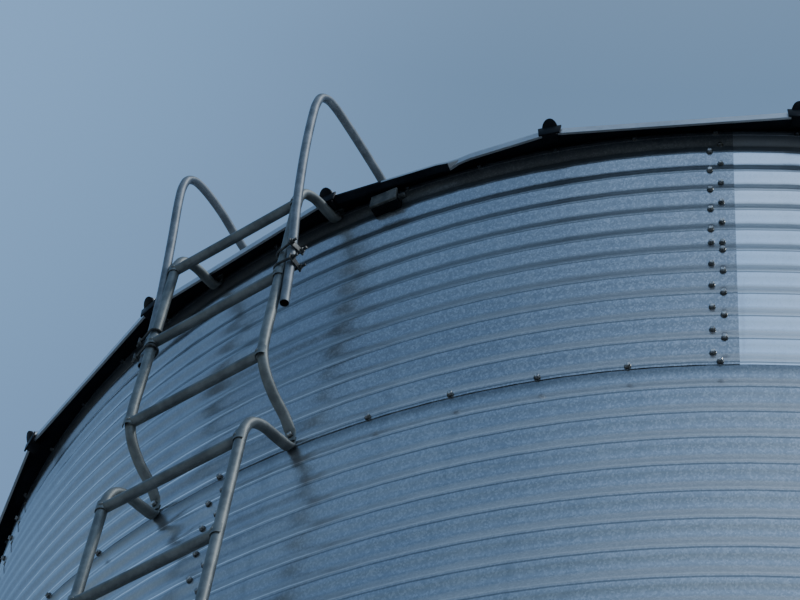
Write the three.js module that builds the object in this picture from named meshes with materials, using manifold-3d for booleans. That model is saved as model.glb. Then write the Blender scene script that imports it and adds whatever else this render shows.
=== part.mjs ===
// A flat-bottomed grain silo of corrugated galvanised sheets, in millimetres, +Z up.
// It is a free-standing bin of 18 feet: seven rings of wall sheets on a base angle, a conical roof of
// 24 ribbed panels, a peak collar with its lid, and an outside ladder whose tubular sections bolt to the
// seams between the rings. Two handrail loops carry the climber from the ladder over the eave.
// The origin is the middle of the base, on the ground. The ladder is at the front, towards -Y.
import * as THREE from "three";
import { mergeVertices } from "three/addons/utils/BufferGeometryUtils.js";
import Module from "manifold-3d";

const wasm = await Module();
wasm.setup();

// Driving dimensions
const CORRUGATION_PITCH = 101.6;
const CORRUGATIONS_PER_RING = 11;
const RING_HEIGHT = CORRUGATION_PITCH * CORRUGATIONS_PER_RING;
const RINGS = 7;
const SEAM_BOLT_SPACING = 238.125;
const BOLTS_PER_SHEET = 12;
const SHEETS_PER_RING = 6;
const WALL_RADIUS = (SEAM_BOLT_SPACING * BOLTS_PER_SHEET * SHEETS_PER_RING) / (2 * Math.PI);
const WALL_THICKNESS = 14;
const SEAT_GAP = 0.3;
const BASE_PLATE = 6;
const WALL_FOOT = BASE_PLATE + SEAT_GAP;
const WALL_TOP_EDGE = 12;
const EAVE_BOLT_HEIGHT = WALL_FOOT + RINGS * RING_HEIGHT;

const DEGREE = Math.PI / 180;
const BOLT_STEP = 360 / (BOLTS_PER_SHEET * SHEETS_PER_RING);
const SEGMENTS_PER_RING = 3;
const SEGMENT_ANGLE = 360 / SEGMENTS_PER_RING;
const SHEET_ANGLE = 360 / SHEETS_PER_RING;

const PANELS = 24;
const PANEL_ANGLE = 360 / PANELS;
const FIRST_RIB = 5;
const ROOF_SLOPE = 30 * DEGREE;
const ROOF_SECTORS = 6;
const PANEL_THICKNESS = 6;
const EAVE_OVERHANG = 84;
const EAVE_LIP = 24;
const LIP_THICKNESS = 4;
const RIB_HALF_WIDTH = 28;
const RIB_HEIGHT = 31;

const COLLAR_RADIUS = 335;
const COLLAR_THICKNESS = 12;
const COLLAR_HEIGHT = 130;
const LID_OVERHANG = 32;
const LID_RISE = 85;
const ROUND_STEPS = 48;

// Ladder dimensions. Standoff is measured from the wall's middle surface in the rail's own plane.
const RAIL_DIAMETER = 31.75;
const RAIL_OFFSET = SEAM_BOLT_SPACING;
const RAIL_STANDOFF = 190;
const RUNG_DIAMETER = 31.75;
const RUNGS_PER_SECTION = 3;
const FIRST_RUNG = 195;
const FIRST_SECTION_LIFT = 95;
const TAB_WIDTH = 40;
const TAB_THICKNESS = 5;
const TAB_LENGTH = 36;
const TOP_TAB = 5;
const BOTTOM_TAB = 6;

// Each handrail loop runs close beside its rail, so the clamps can draw the two together
const LOOP_DIAMETER = 28.6;
const LOOP_OFFSET = RAIL_OFFSET + 31;
const LOOP_FOOT_Y = 2400;
const LOOP_PLATE = [38, 80, 5];
const CLAMP_HEIGHTS = { left: [7240, 7318], right: [7300, 7368] };
const CLAMP_ROD = 8;
const CLAMP_PLATE = [60, 24, 5];
const CLAMP_CLEAR = 0.5;

const BOX_ANGLE = 8.85;
const BOX_WIDTH = 90;
const BOX_HEIGHT = 56;
const BOX_DEPTH = 42;
const BOX_TOP = 7768;

// Radians counted from the front, positive towards +X
function onCircle(radius, degrees, z) {
  const a = degrees * DEGREE;
  return new THREE.Vector3(radius * Math.sin(a), -radius * Math.cos(a), z);
}

const galvanised = new THREE.MeshStandardMaterial({ color: 0x8d9aa6, roughness: 0.45, metalness: 0.8 });
const galvanisedRoof = new THREE.MeshStandardMaterial({ color: 0x9aa3aa, roughness: 0.5, metalness: 0.8 });
const zincTube = new THREE.MeshStandardMaterial({ color: 0x8a8f92, roughness: 0.5, metalness: 0.7 });
const darkFitting = new THREE.MeshStandardMaterial({ color: 0x2b3134, roughness: 0.6, metalness: 0.3 });

const silo = new THREE.Group();

function addMesh(name, geometry, material, parent = silo) {
  const mesh = new THREE.Mesh(geometry, material);
  mesh.name = name;
  parent.add(mesh);
  return mesh;
}

// Solids for joining and cutting
function solidFrom(geometry) {
  const bare = new THREE.BufferGeometry();
  bare.setAttribute("position", geometry.getAttribute("position").clone());
  if (geometry.index) bare.setIndex(geometry.index.clone());
  const merged = mergeVertices(bare, 1e-4);
  return new wasm.Manifold(
    new wasm.Mesh({
      numProp: 3,
      vertProperties: Float32Array.from(merged.attributes.position.array),
      triVerts: Uint32Array.from(merged.index.array),
    }),
  );
}

function geometryFrom(solid) {
  const mesh = solid.getMesh();
  const positions = new Float32Array(mesh.numVert * 3);
  for (let i = 0; i < mesh.numVert; i++) {
    positions.set(mesh.vertProperties.subarray(i * mesh.numProp, i * mesh.numProp + 3), i * 3);
  }
  const geometry = new THREE.BufferGeometry();
  geometry.setAttribute("position", new THREE.BufferAttribute(positions, 3));
  geometry.setIndex(new THREE.BufferAttribute(Uint32Array.from(mesh.triVerts), 1));
  return geometry;
}

function joined(solids) {
  return solids.reduce((all, next) => all.add(next));
}

// A solid from a closed surface, turned so that it faces out
function facingOut(geometry) {
  const solid = solidFrom(geometry);
  if (solid.volume() > 0) return solid;
  const index = Array.from(geometry.index.array);
  for (let i = 0; i < index.length; i += 3) {
    [index[i + 1], index[i + 2]] = [index[i + 2], index[i + 1]];
  }
  geometry.setIndex(index);
  return solidFrom(geometry);
}

// A closed solid with six faces, from four corners and the offset to the other four
function slab(corners, offset) {
  const points = [...corners, ...corners.map((c) => c.clone().add(offset))];
  const faces = [[0, 1, 2, 3], [7, 6, 5, 4], [0, 4, 5, 1], [1, 5, 6, 2], [2, 6, 7, 3], [3, 7, 4, 0]];
  const geometry = new THREE.BufferGeometry();
  geometry.setAttribute("position", new THREE.Float32BufferAttribute(points.flatMap((p) => p.toArray()), 3));
  geometry.setIndex(faces.flatMap(([a, b, c, d]) => [a, b, c, a, c, d]));
  return facingOut(geometry);
}

// A flat-sided sector of a ring: a profile of [radius, height] points, repeated at each step round.
// Its two ends stop half a seat gap short of the neighbouring sectors.
function sector(profile, from, to, steps) {
  const trim = SEAT_GAP / 2 / Math.min(...profile.map((p) => p[0])) / DEGREE;
  const positions = [];
  for (let i = 0; i <= steps; i++) {
    const shift = i === 0 ? trim : i === steps ? -trim : 0;
    const angle = from + (i * (to - from)) / steps + shift;
    profile.forEach(([radius, z]) => positions.push(...onCircle(radius, angle, z).toArray()));
  }
  const n = profile.length;
  const faces = [];
  for (let i = 0; i < steps; i++) {
    for (let k = 0; k < n; k++) {
      const [a, b] = [i * n + k, i * n + ((k + 1) % n)];
      faces.push(a, a + n, b, b, a + n, b + n);
    }
  }
  const outline = profile.map(([radius, z]) => new THREE.Vector2(radius, z));
  const caps = THREE.ShapeUtils.triangulateShape(outline, []);
  const flip = THREE.ShapeUtils.area(outline) < 0;
  caps.forEach(([a, b, c]) => {
    const last = steps * n;
    const order = flip ? [a, c, b] : [a, b, c];
    faces.push(order[0], order[1], order[2], last + order[2], last + order[1], last + order[0]);
  });
  const geometry = new THREE.BufferGeometry();
  geometry.setAttribute("position", new THREE.Float32BufferAttribute(positions, 3));
  geometry.setIndex(faces);
  return facingOut(geometry);
}

// Base angle: an L-section on the ground that the bottom sheets stand on, with anchor brackets
const BASE_LEG = 62;
const BASE_UPSTAND = 60;
const ANCHOR_EVERY = 30;
const ANCHOR_HALF_ANGLE = 0.8;
const ANCHOR_HEIGHT = 90;
const wallInner = WALL_RADIUS - WALL_THICKNESS / 2;
const wallOuter = WALL_RADIUS + WALL_THICKNESS / 2;

function baseAngle(from, to) {
  const back = wallInner - SEAT_GAP;
  const toe = wallOuter + BASE_LEG;
  const profile = [[back - BASE_PLATE, 0], [toe, 0], [toe, BASE_PLATE], [back, BASE_PLATE],
    [back, BASE_UPSTAND], [back - BASE_PLATE, BASE_UPSTAND]];
  const angle = sector(profile, from, to, (to - from) / BOLT_STEP);
  const anchors = [];
  for (let a = from + ANCHOR_EVERY / 2; a < to; a += ANCHOR_EVERY) {
    for (const side of [-ANCHOR_HALF_ANGLE, ANCHOR_HALF_ANGLE]) {
      anchors.push(anchorGusset(a + side));
    }
  }
  return joined([angle, ...anchors]);
}

// A triangular gusset of the anchor bracket, square to the wall
function anchorGusset(degrees) {
  const thickness = BASE_PLATE;
  const shape = new THREE.Shape([
    new THREE.Vector2(wallOuter + 3, BASE_PLATE / 2),
    new THREE.Vector2(wallOuter + BASE_LEG - 4, BASE_PLATE / 2),
    new THREE.Vector2(wallOuter + 14, ANCHOR_HEIGHT),
    new THREE.Vector2(wallOuter + 3, ANCHOR_HEIGHT),
  ]);
  const geometry = new THREE.ExtrudeGeometry(shape, { depth: thickness, bevelEnabled: false });
  geometry.translate(0, 0, -thickness / 2);
  const radial = onCircle(1, degrees, 0);
  const up = new THREE.Vector3(0, 0, 1);
  const basis = new THREE.Matrix4().makeBasis(radial, up, radial.clone().cross(up));
  return solidFrom(geometry.applyMatrix4(basis));
}

["a", "b", "c"].forEach((letter, i) => {
  const from = i * SEGMENT_ANGLE;
  addMesh(`base_angle_${letter}`, geometryFrom(baseAngle(from, from + SEGMENT_ANGLE)), galvanised);
});

// Wall rings. The vertical seams of neighbouring rings are half a sheet apart.
// Each node is two sheets of its ring.
for (let ring = 1; ring <= RINGS; ring++) {
  const start = (RINGS - ring) % 2 === 0 ? SHEET_ANGLE / 2 : 0;
  const bottom = WALL_FOOT + (ring - 1) * RING_HEIGHT;
  const top = bottom + RING_HEIGHT + (ring === RINGS ? WALL_TOP_EDGE : -SEAT_GAP);
  ["a", "b", "c"].forEach((letter, i) => {
    const from = start + i * SEGMENT_ANGLE;
    const profile = [[wallInner, bottom], [wallOuter, bottom], [wallOuter, top], [wallInner, top]];
    const solid = sector(profile, from, from + SEGMENT_ANGLE, SEGMENT_ANGLE / BOLT_STEP);
    addMesh(`wall_ring_${ring}${letter}`, geometryFrom(solid), galvanised);
  });
}

// Roof. Each panel is flat, so it comes nearest the wall's top edge half way between its ribs.
const EAVE_RADIUS = WALL_RADIUS + EAVE_OVERHANG;
const wallTop = EAVE_BOLT_HEIGHT + WALL_TOP_EDGE;
const halfPanel = (PANEL_ANGLE / 2) * DEGREE;
const eaveUnderside =
  wallTop + SEAT_GAP - (EAVE_RADIUS - wallOuter / Math.cos(halfPanel)) * Math.tan(ROOF_SLOPE);

// Height of the panels' underside along a rib, at a distance from the silo's middle
function roofUnderside(radius) {
  return eaveUnderside + (EAVE_RADIUS - radius) * Math.tan(ROOF_SLOPE);
}

const PANEL_INNER = (COLLAR_RADIUS + SEAT_GAP) / Math.cos(halfPanel);

// Square to a flat panel whose middle is at this angle
function panelNormal(middle) {
  const slope = Math.atan(Math.tan(ROOF_SLOPE) / Math.cos(halfPanel));
  return onCircle(Math.sin(slope), middle, Math.cos(slope));
}

// The panels between the ribs of one sector, with their lips turned down at the eave
function roofPanels(from, to) {
  const inner = roofUnderside(PANEL_INNER);
  const lipInner = EAVE_RADIUS - LIP_THICKNESS;
  const lipFoot = eaveUnderside - EAVE_LIP;
  const profile = [[PANEL_INNER, inner], [lipInner, roofUnderside(lipInner)], [lipInner, lipFoot],
    [EAVE_RADIUS, lipFoot], [EAVE_RADIUS, eaveUnderside + PANEL_THICKNESS],
    [PANEL_INNER, inner + PANEL_THICKNESS]];
  return sector(profile, from, to, (to - from) / PANEL_ANGLE);
}

// The outline of a roof rib, across the rib and up from a root in the panel
function ribOutline(clearance, root) {
  const w = RIB_HALF_WIDTH + clearance;
  const h = RIB_HEIGHT + clearance;
  const half = [[w, -root], [w, 0], [w - 3, h * 0.5], [w - 9, h * 0.85], [w - 18, h]];
  const mirrored = half.map(([x, y]) => [-x, y]).reverse();
  return new THREE.Shape([...half, ...mirrored].map(([x, y]) => new THREE.Vector2(x, y)));
}

const RIB_ROOT = 4;
const RIB_OVERHANG = 6;
const RIB_END_RADIUS = COLLAR_RADIUS + 40;

function roofRib(degrees, clearance = 0, root = RIB_ROOT) {
  const length = (EAVE_RADIUS - RIB_END_RADIUS) / Math.cos(ROOF_SLOPE) + RIB_OVERHANG;
  const geometry = new THREE.ExtrudeGeometry(ribOutline(clearance, root), {
    depth: length + 2 * clearance,
    bevelEnabled: false,
  });
  geometry.translate(0, 0, -clearance);
  const outward = onCircle(1, degrees, 0);
  const upSlope = outward.clone().multiplyScalar(-Math.cos(ROOF_SLOPE)).setZ(Math.sin(ROOF_SLOPE));
  const normal = outward.clone().multiplyScalar(Math.sin(ROOF_SLOPE)).setZ(Math.cos(ROOF_SLOPE));
  const across = normal.clone().cross(upSlope);
  const edge = onCircle(EAVE_RADIUS, degrees, eaveUnderside + PANEL_THICKNESS);
  const foot = edge.addScaledVector(upSlope, -RIB_OVERHANG);
  const basis = new THREE.Matrix4().makeBasis(across, normal, upSlope).setPosition(foot);
  return solidFrom(geometry.applyMatrix4(basis));
}

function roundBlock(radius, bottom, top) {
  const geometry = new THREE.CylinderGeometry(radius, radius, top - bottom, ROUND_STEPS);
  geometry.rotateX(Math.PI / 2).rotateZ(Math.PI / ROUND_STEPS);
  return solidFrom(geometry.translate(0, 0, (bottom + top) / 2));
}

const collarFoot = roofUnderside(COLLAR_RADIUS) - 20;
const collarTop = collarFoot + COLLAR_HEIGHT;
const panelsPerSector = PANELS / ROOF_SECTORS;

for (let i = 0; i < ROOF_SECTORS; i++) {
  const from = FIRST_RIB + i * panelsPerSector * PANEL_ANGLE;
  const to = from + panelsPerSector * PANEL_ANGLE;
  // The next sector's first rib laps the joint, so these panels stop beside it
  let roof = roofPanels(from, to).subtract(roofRib(to, SEAT_GAP, 2 * PANEL_THICKNESS));
  for (let k = 0; k < panelsPerSector; k++) {
    roof = roof.add(roofRib(from + k * PANEL_ANGLE));
  }
  addMesh(`roof_sector_${i + 1}`, geometryFrom(roof), galvanisedRoof);
}

// Peak collar and lid
const collar = roundBlock(COLLAR_RADIUS, collarFoot, collarTop).subtract(
  roundBlock(COLLAR_RADIUS - COLLAR_THICKNESS, collarFoot - 10, collarTop + 10),
);
addMesh("peak_collar", geometryFrom(collar), galvanisedRoof);

function peakLid() {
  const skirt = 40;
  const outer = COLLAR_RADIUS + LID_OVERHANG;
  const inner = outer - 5;
  const seat = collarTop + SEAT_GAP;
  const profile = [[0, seat], [inner, seat], [inner, seat - skirt], [outer, seat - skirt], [outer, seat + 10],
    [60, seat + LID_RISE], [0, seat + LID_RISE]];
  const geometry = new THREE.LatheGeometry(profile.map(([r, z]) => new THREE.Vector2(r, z)), ROUND_STEPS);
  return geometry.rotateX(Math.PI / 2);
}
addMesh("peak_lid", geometryFrom(solidFrom(peakLid())), galvanisedRoof);

// Ladder. A flattened end lies flat against the wall, square to the radius through its bolt.
const railAngle = Math.asin(RAIL_OFFSET / WALL_RADIUS) / DEGREE;
const railWallY = Math.sqrt(WALL_RADIUS ** 2 - RAIL_OFFSET ** 2);

const acrossX = new THREE.Vector3(1, 0, 0);
const upZ = new THREE.Vector3(0, 0, 1);

function wallTab(degrees, gap, thickness, halfWidth, bottom, top) {
  const radial = onCircle(1, degrees, 0);
  const across = new THREE.Vector3(0, 0, 1).cross(radial);
  const at = (w, z) => radial.clone().multiplyScalar(wallOuter + gap).addScaledVector(across, w).setZ(z);
  const corners = [at(-halfWidth, bottom), at(halfWidth, bottom), at(halfWidth, top), at(-halfWidth, top)];
  return slab(corners, radial.multiplyScalar(thickness));
}

// A round bar swept along points, with flat ends. The side is square to the whole path.
function roundBar(points, diameter, side, rounding = 1, sides = 10) {
  const curve = new THREE.CatmullRomCurve3(points, false, "centripetal");
  const path = rounding > 1 ? curve.getPoints(rounding * (points.length - 1)) : points;
  const last = path.length - 1;
  const positions = [];
  path.forEach((p, i) => {
    const before = path[Math.max(i - 1, 0)];
    const after = path[Math.min(i + 1, last)];
    const up = after.clone().sub(before).normalize().cross(side).normalize();
    for (let k = 0; k < sides; k++) {
      const a = ((k + 0.5) * 2 * Math.PI) / sides;
      const out = side.clone().multiplyScalar(Math.cos(a)).addScaledVector(up, Math.sin(a));
      positions.push(...p.clone().addScaledVector(out, diameter / 2).toArray());
    }
  });
  const faces = [];
  for (let i = 0; i < last; i++) {
    for (let k = 0; k < sides; k++) {
      const [a, b] = [i * sides + k, i * sides + ((k + 1) % sides)];
      faces.push(a, a + sides, b, b, a + sides, b + sides);
    }
  }
  for (let k = 1; k < sides - 1; k++) {
    faces.push(0, k, k + 1, last * sides, last * sides + k + 1, last * sides + k);
  }
  const geometry = new THREE.BufferGeometry();
  geometry.setAttribute("position", new THREE.Float32BufferAttribute(positions, 3));
  geometry.setIndex(faces);
  return facingOut(geometry);
}

// Rail offsets from the wall's middle surface at heights above the section's foot
const lowerHook = [[17, 24], [48, 56], [112, 94], [160, 142], [185, 200], [RAIL_STANDOFF, 262]];
const upperHook = [[RAIL_STANDOFF, -190], [186, -138], [168, -90], [128, -58], [62, -40], [12, -26]];

// The top section's hooks dip a little to pass under the eave's lip
const eaveHook = [[RAIL_STANDOFF, -190], [187, -146], [171, -103], [134, -74], [95, -65], [60, -63],
  [32, -52], [12, -32]];

function railProfile(section, lift) {
  return [
    ...lowerHook.map(([out, z]) => [out, z + lift]),
    [RAIL_STANDOFF, 380],
    [RAIL_STANDOFF, RING_HEIGHT - 240],
    ...(section === RINGS ? eaveHook : upperHook).map(([out, z]) => [out, z + RING_HEIGHT]),
  ];
}

function railOut(profile, z) {
  const i = profile.findIndex((p) => p[1] >= z);
  const [a, b] = [profile[i - 1], profile[i]];
  return a[0] + ((b[0] - a[0]) * (z - a[1])) / (b[1] - a[1]);
}

// The hooks of two sections share a bolt: the upper section's end lies over the lower one's
function ladderSection(section) {
  const lift = section === 1 ? FIRST_SECTION_LIFT : 0;
  const footGap = section === 1 ? SEAT_GAP : 2 * SEAT_GAP + TAB_THICKNESS;
  const foot = WALL_FOOT + (section - 1) * RING_HEIGHT;
  const head = foot + RING_HEIGHT;
  const profile = railProfile(section, lift);
  const pieces = [];
  for (const side of [-1, 1]) {
    const angle = side * railAngle;
    const x = side * RAIL_OFFSET;
    const points = profile.map(([out, z]) => new THREE.Vector3(x, -railWallY - out, foot + z));
    const tab = (gap, from, to) => wallTab(angle, gap, TAB_THICKNESS, TAB_WIDTH / 2, from, to);
    const behind = (gap, from, to) => wallTab(angle, gap - 100, 100, 100, from, to);
    const rail = roundBar(points, RAIL_DIAMETER, acrossX, 2)
      .subtract(behind(footGap, foot - 50, foot + 250))
      .subtract(behind(SEAT_GAP, head - 150, head + 50));
    pieces.push(rail, tab(footGap, foot + lift - BOTTOM_TAB, foot + lift + TAB_LENGTH));
    pieces.push(tab(SEAT_GAP, head - TAB_LENGTH, head + TOP_TAB));
  }
  for (let i = 0; i < RUNGS_PER_SECTION; i++) {
    const z = FIRST_RUNG + (i * RING_HEIGHT) / RUNGS_PER_SECTION;
    const y = -railWallY - railOut(profile, z);
    const ends = [-RAIL_OFFSET, RAIL_OFFSET].map((x) => new THREE.Vector3(x, y, foot + z));
    pieces.push(roundBar(ends, RUNG_DIAMETER, upZ));
  }
  return joined(pieces);
}

for (let section = 1; section <= RINGS; section++) {
  addMesh(`ladder_section_${section}`, geometryFrom(ladderSection(section)), zincTube);
}

// Handrail loops, one beside each rail, from below the eave over it to a foot on the roof.
// They are bent by hand, so each has its own outline of distances to the front and heights.
const loopOutlines = {
  left: [[2897, 7196], [2897, 7320], [2901, 7430], [2909, 7569], [2931, 7811], [2951, 8010], [2953, 8085],
    [2941, 8144], [2912, 8176], [2872, 8186], [2780, 8176], [2672, 8138], [2545, 8102]],
  right: [[2895, 7125], [2901, 7220], [2908, 7320], [2916, 7400], [2937, 7590], [2955, 7855], [2958, 8050],
    [2955, 8122], [2940, 8185], [2908, 8215], [2873, 8220], [2788, 8203], [2613, 8150], [2525, 8113]],
};

function loopMiddle(side) {
  return FIRST_RIB + (side * PANEL_ANGLE) / 2;
}

// The point on the roof where a loop's foot plate stands
function loopFoot(side) {
  const middle = loopMiddle(side);
  const normal = panelNormal(middle);
  const edge = onCircle(EAVE_RADIUS * Math.cos(halfPanel), middle, eaveUnderside);
  const x = side * LOOP_OFFSET;
  const y = -LOOP_FOOT_Y;
  const z = edge.z - (normal.x * (x - edge.x) + normal.y * (y - edge.y)) / normal.z;
  return new THREE.Vector3(x, y, z).addScaledVector(upZ, PANEL_THICKNESS).addScaledVector(normal, SEAT_GAP);
}

function handrailLoop(side, outline) {
  const foot = loopFoot(side);
  const x = side * LOOP_OFFSET;
  const points = outline.map(([out, z]) => new THREE.Vector3(x, -out, z + WALL_FOOT));
  const footTop = foot.clone().add(new THREE.Vector3(0, 0, 4));
  points.push(footTop.clone().add(new THREE.Vector3(0, -34, 24)), footTop);
  const tube = roundBar(points, LOOP_DIAMETER, acrossX, 2, 12);
  const normal = panelNormal(loopMiddle(side));
  const across = new THREE.Vector3(1, 0, 0).addScaledVector(normal, -normal.x).normalize();
  const along = normal.clone().cross(across);
  const at = (from, u, v) => from.clone().addScaledVector(across, u).addScaledVector(along, v);
  const square = (from, u, v) => [at(from, -u, -v), at(from, u, -v), at(from, u, v), at(from, -u, v)];
  const [width, length, thickness] = LOOP_PLATE;
  const plate = slab(square(foot, width / 2, length / 2), normal.clone().multiplyScalar(thickness));
  const inPlate = foot.clone().addScaledVector(normal, 2);
  const ground = slab(square(inPlate, 200, 200), normal.clone().multiplyScalar(-150));
  return tube.subtract(ground).add(plate);
}

addMesh("handrail_left", geometryFrom(handrailLoop(-1, loopOutlines.left)), zincTube);
addMesh("handrail_right", geometryFrom(handrailLoop(1, loopOutlines.right)), zincTube);

// Clamps that hold each loop to its rail. A bent rod goes round the front of the rail, and its two legs
// run past the loop, through a plate behind it, to their nuts.
function railClamp(side, outline, height) {
  const z = height + WALL_FOOT;
  const rail = new THREE.Vector3(side * RAIL_OFFSET, -railWallY - RAIL_STANDOFF, z);
  const loop = new THREE.Vector3(side * LOOP_OFFSET, -railOut(outline, height), z);
  const along = loop.clone().sub(rail);
  const reach = along.length();
  along.normalize();
  const across = upZ.clone().cross(along);
  const at = (a, w, rise = 0) =>
    rail.clone().addScaledVector(along, a).addScaledVector(across, w).addScaledVector(upZ, rise);
  const bend = RAIL_DIAMETER / 2 + CLAMP_ROD / 2 + 0.5;
  const [width, tall, thickness] = CLAMP_PLATE;
  const plateAt = reach + LOOP_DIAMETER / 2 + CLAMP_CLEAR;
  const legEnd = plateAt + thickness + 20;
  const rod = [at(legEnd, bend)];
  for (let i = 0; i <= 10; i++) {
    const a = (i / 10) * Math.PI;
    rod.push(at(-bend * Math.sin(a), bend * Math.cos(a)));
  }
  rod.push(at(legEnd, -bend));
  const [w, h] = [width / 2, tall / 2];
  const corners = [at(plateAt, -w, -h), at(plateAt, w, -h), at(plateAt, w, h), at(plateAt, -w, h)];
  const pieces = [roundBar(rod, CLAMP_ROD, upZ, 1, 8), slab(corners, along.clone().multiplyScalar(thickness))];
  for (const leg of [-bend, bend]) {
    const nut = new THREE.CylinderGeometry(7.5, 7.5, 7, 6).rotateZ(Math.PI / 2);
    const place = at(plateAt + thickness + 3, leg);
    const basis = new THREE.Matrix4().makeBasis(along, across, upZ).setPosition(place);
    pieces.push(solidFrom(nut.applyMatrix4(basis)));
  }
  return joined(pieces);
}

for (const [name, side] of [["left", -1], ["right", 1]]) {
  ["lower", "upper"].forEach((level, i) => {
    const clamp = railClamp(side, loopOutlines[name], CLAMP_HEIGHTS[name][i]);
    addMesh(`clamp_${name}_${level}`, geometryFrom(clamp), darkFitting);
  });
}

// Junction box flat on one facet of the wall under the eave, with its cable gland
function junctionBox() {
  const middle = (Math.floor(BOX_ANGLE / BOLT_STEP) + 0.5) * BOLT_STEP;
  const radial = onCircle(1, middle, 0);
  const across = upZ.clone().cross(radial);
  const back = wallOuter * Math.cos((BOLT_STEP / 2) * DEGREE) + SEAT_GAP;
  const shift = back * Math.tan((BOX_ANGLE - middle) * DEGREE);
  const top = WALL_FOOT + BOX_TOP;
  const at = (w, z) => radial.clone().multiplyScalar(back).addScaledVector(across, shift + w).setZ(z);
  const half = BOX_WIDTH / 2;
  const corners = [at(-half, top - BOX_HEIGHT), at(half, top - BOX_HEIGHT), at(half, top), at(-half, top)];
  const body = slab(corners, radial.clone().multiplyScalar(BOX_DEPTH));
  const start = at(half - 4, top - BOX_HEIGHT / 2).addScaledVector(radial, BOX_DEPTH / 2);
  return body.add(roundBar([start, start.clone().addScaledVector(across, 26)], 18, upZ));
}
addMesh("junction_box", geometryFrom(junctionBox()), darkFitting);

// The origin goes to the middle of the whole object's own box, at ground level
const reach = new THREE.Box3().setFromObject(silo);
const middle = reach.getCenter(new THREE.Vector3());
silo.children.forEach((mesh) => mesh.geometry.translate(-middle.x, -middle.y, 0));

export default silo;
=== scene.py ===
import math

import bmesh
import bpy
from mathutils import Matrix, Vector
from mathutils.geometry import interpolate_bezier


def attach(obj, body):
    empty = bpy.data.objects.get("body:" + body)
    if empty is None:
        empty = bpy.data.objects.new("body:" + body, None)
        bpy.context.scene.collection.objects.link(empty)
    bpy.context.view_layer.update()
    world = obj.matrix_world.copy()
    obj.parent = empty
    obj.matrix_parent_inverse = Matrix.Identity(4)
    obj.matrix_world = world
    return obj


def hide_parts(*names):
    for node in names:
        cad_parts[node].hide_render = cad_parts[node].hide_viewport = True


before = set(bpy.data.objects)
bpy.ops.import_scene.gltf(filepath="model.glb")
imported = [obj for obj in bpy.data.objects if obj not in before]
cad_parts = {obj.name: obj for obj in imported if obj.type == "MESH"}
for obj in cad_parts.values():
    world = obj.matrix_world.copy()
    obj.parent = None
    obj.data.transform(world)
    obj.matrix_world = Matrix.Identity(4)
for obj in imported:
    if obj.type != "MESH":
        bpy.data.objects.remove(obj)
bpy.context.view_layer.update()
bpy.ops.object.select_all(action="DESELECT")

# Camera. It stands on the ground to the right of the ladder, at a person's eye height, and looks steeply
# up at the two top rings of the shell and at the eave.
SHELL_AXIS_Y = 0.07416
bpy.ops.object.camera_add(
    location=(3.2258, -5.5737 + SHELL_AXIS_Y, 1.8181),
    rotation=[math.radians(turn) for turn in (144.095, -5.574, 35.577)],
)
camera = bpy.context.object
camera.name = "camera"
camera.data.sensor_width = 36
camera.data.lens = 105.94
camera.data.clip_end = 300
bpy.context.scene.camera = camera


# Studio. A plain pale floor under a soft dome of light, which is bluer and brighter overhead than near the
# horizon. It has a broad bright panel at the front right, a blue patch high on the left and a dull one low
# on the left, and one soft lamp stands high on the right.
class Thread:
    """One value that runs through a material. Arithmetic on it adds the Math nodes."""

    def __init__(self, finish, socket):
        self.finish = finish
        self.socket = socket

    def math(self, operation, *values):
        return self.finish.node("Math", dict(enumerate(values)), operation=operation)

    def __add__(self, other):
        return self.math("ADD", self, other)

    def __sub__(self, other):
        return self.math("SUBTRACT", self, other)

    def __rsub__(self, other):
        return self.math("SUBTRACT", other, self)

    def __mul__(self, other):
        return self.math("MULTIPLY", self, other)

    def __truediv__(self, other):
        return self.math("DIVIDE", self, other)

    def fade(self, low, high):
        """0 below low, 1 above high and smooth between, or the other way round if low is the larger."""
        start, end, first, last = (low, high, 0, 1) if low < high else (high, low, 1, 0)
        inputs = {"Value": self, "From Min": start, "From Max": end, "To Min": first, "To Max": last}
        return self.finish.node("MapRange", inputs, interpolation_type="SMOOTHSTEP")


class Finish:
    """A material, or the world's light, that is put together node by node."""

    def __init__(self, owner):
        owner.use_nodes = True
        self.owner = owner
        self.tree = owner.node_tree
        self.tree.nodes.clear()

    def node(self, kind, inputs=None, out=0, stops=None, **settings):
        made = self.tree.nodes.new("ShaderNode" + kind)
        for name, value in settings.items():
            setattr(made, name, value)
        if stops:
            for _ in stops[2:]:
                made.color_ramp.elements.new(0.5)
            for stop, (place, colour) in zip(made.color_ramp.elements, stops):
                stop.position = place
                stop.color = (*colour, 1)
        for name, value in (inputs or {}).items():
            if isinstance(value, Thread):
                self.tree.links.new(value.socket, made.inputs[name])
            elif value is not None:
                made.inputs[name].default_value = value
        return Thread(self, made.outputs[out]) if made.outputs else made

    def mix(self, amount, first, second, blend="MIX"):
        """A colour between two colours."""
        tones = [c if isinstance(c, Thread) else (*c, 1) for c in (first, second)]
        inputs = {0: amount, 6: tones[0], 7: tones[1]}
        return self.node("Mix", inputs, out=2, data_type="RGBA", blend_type=blend)

    def surface(self, **inputs):
        """Ends a material in one Principled surface."""
        named = {name.replace("_", " "): value for name, value in inputs.items()}
        self.node("OutputMaterial", {0: self.node("BsdfPrincipled", named)})


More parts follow.
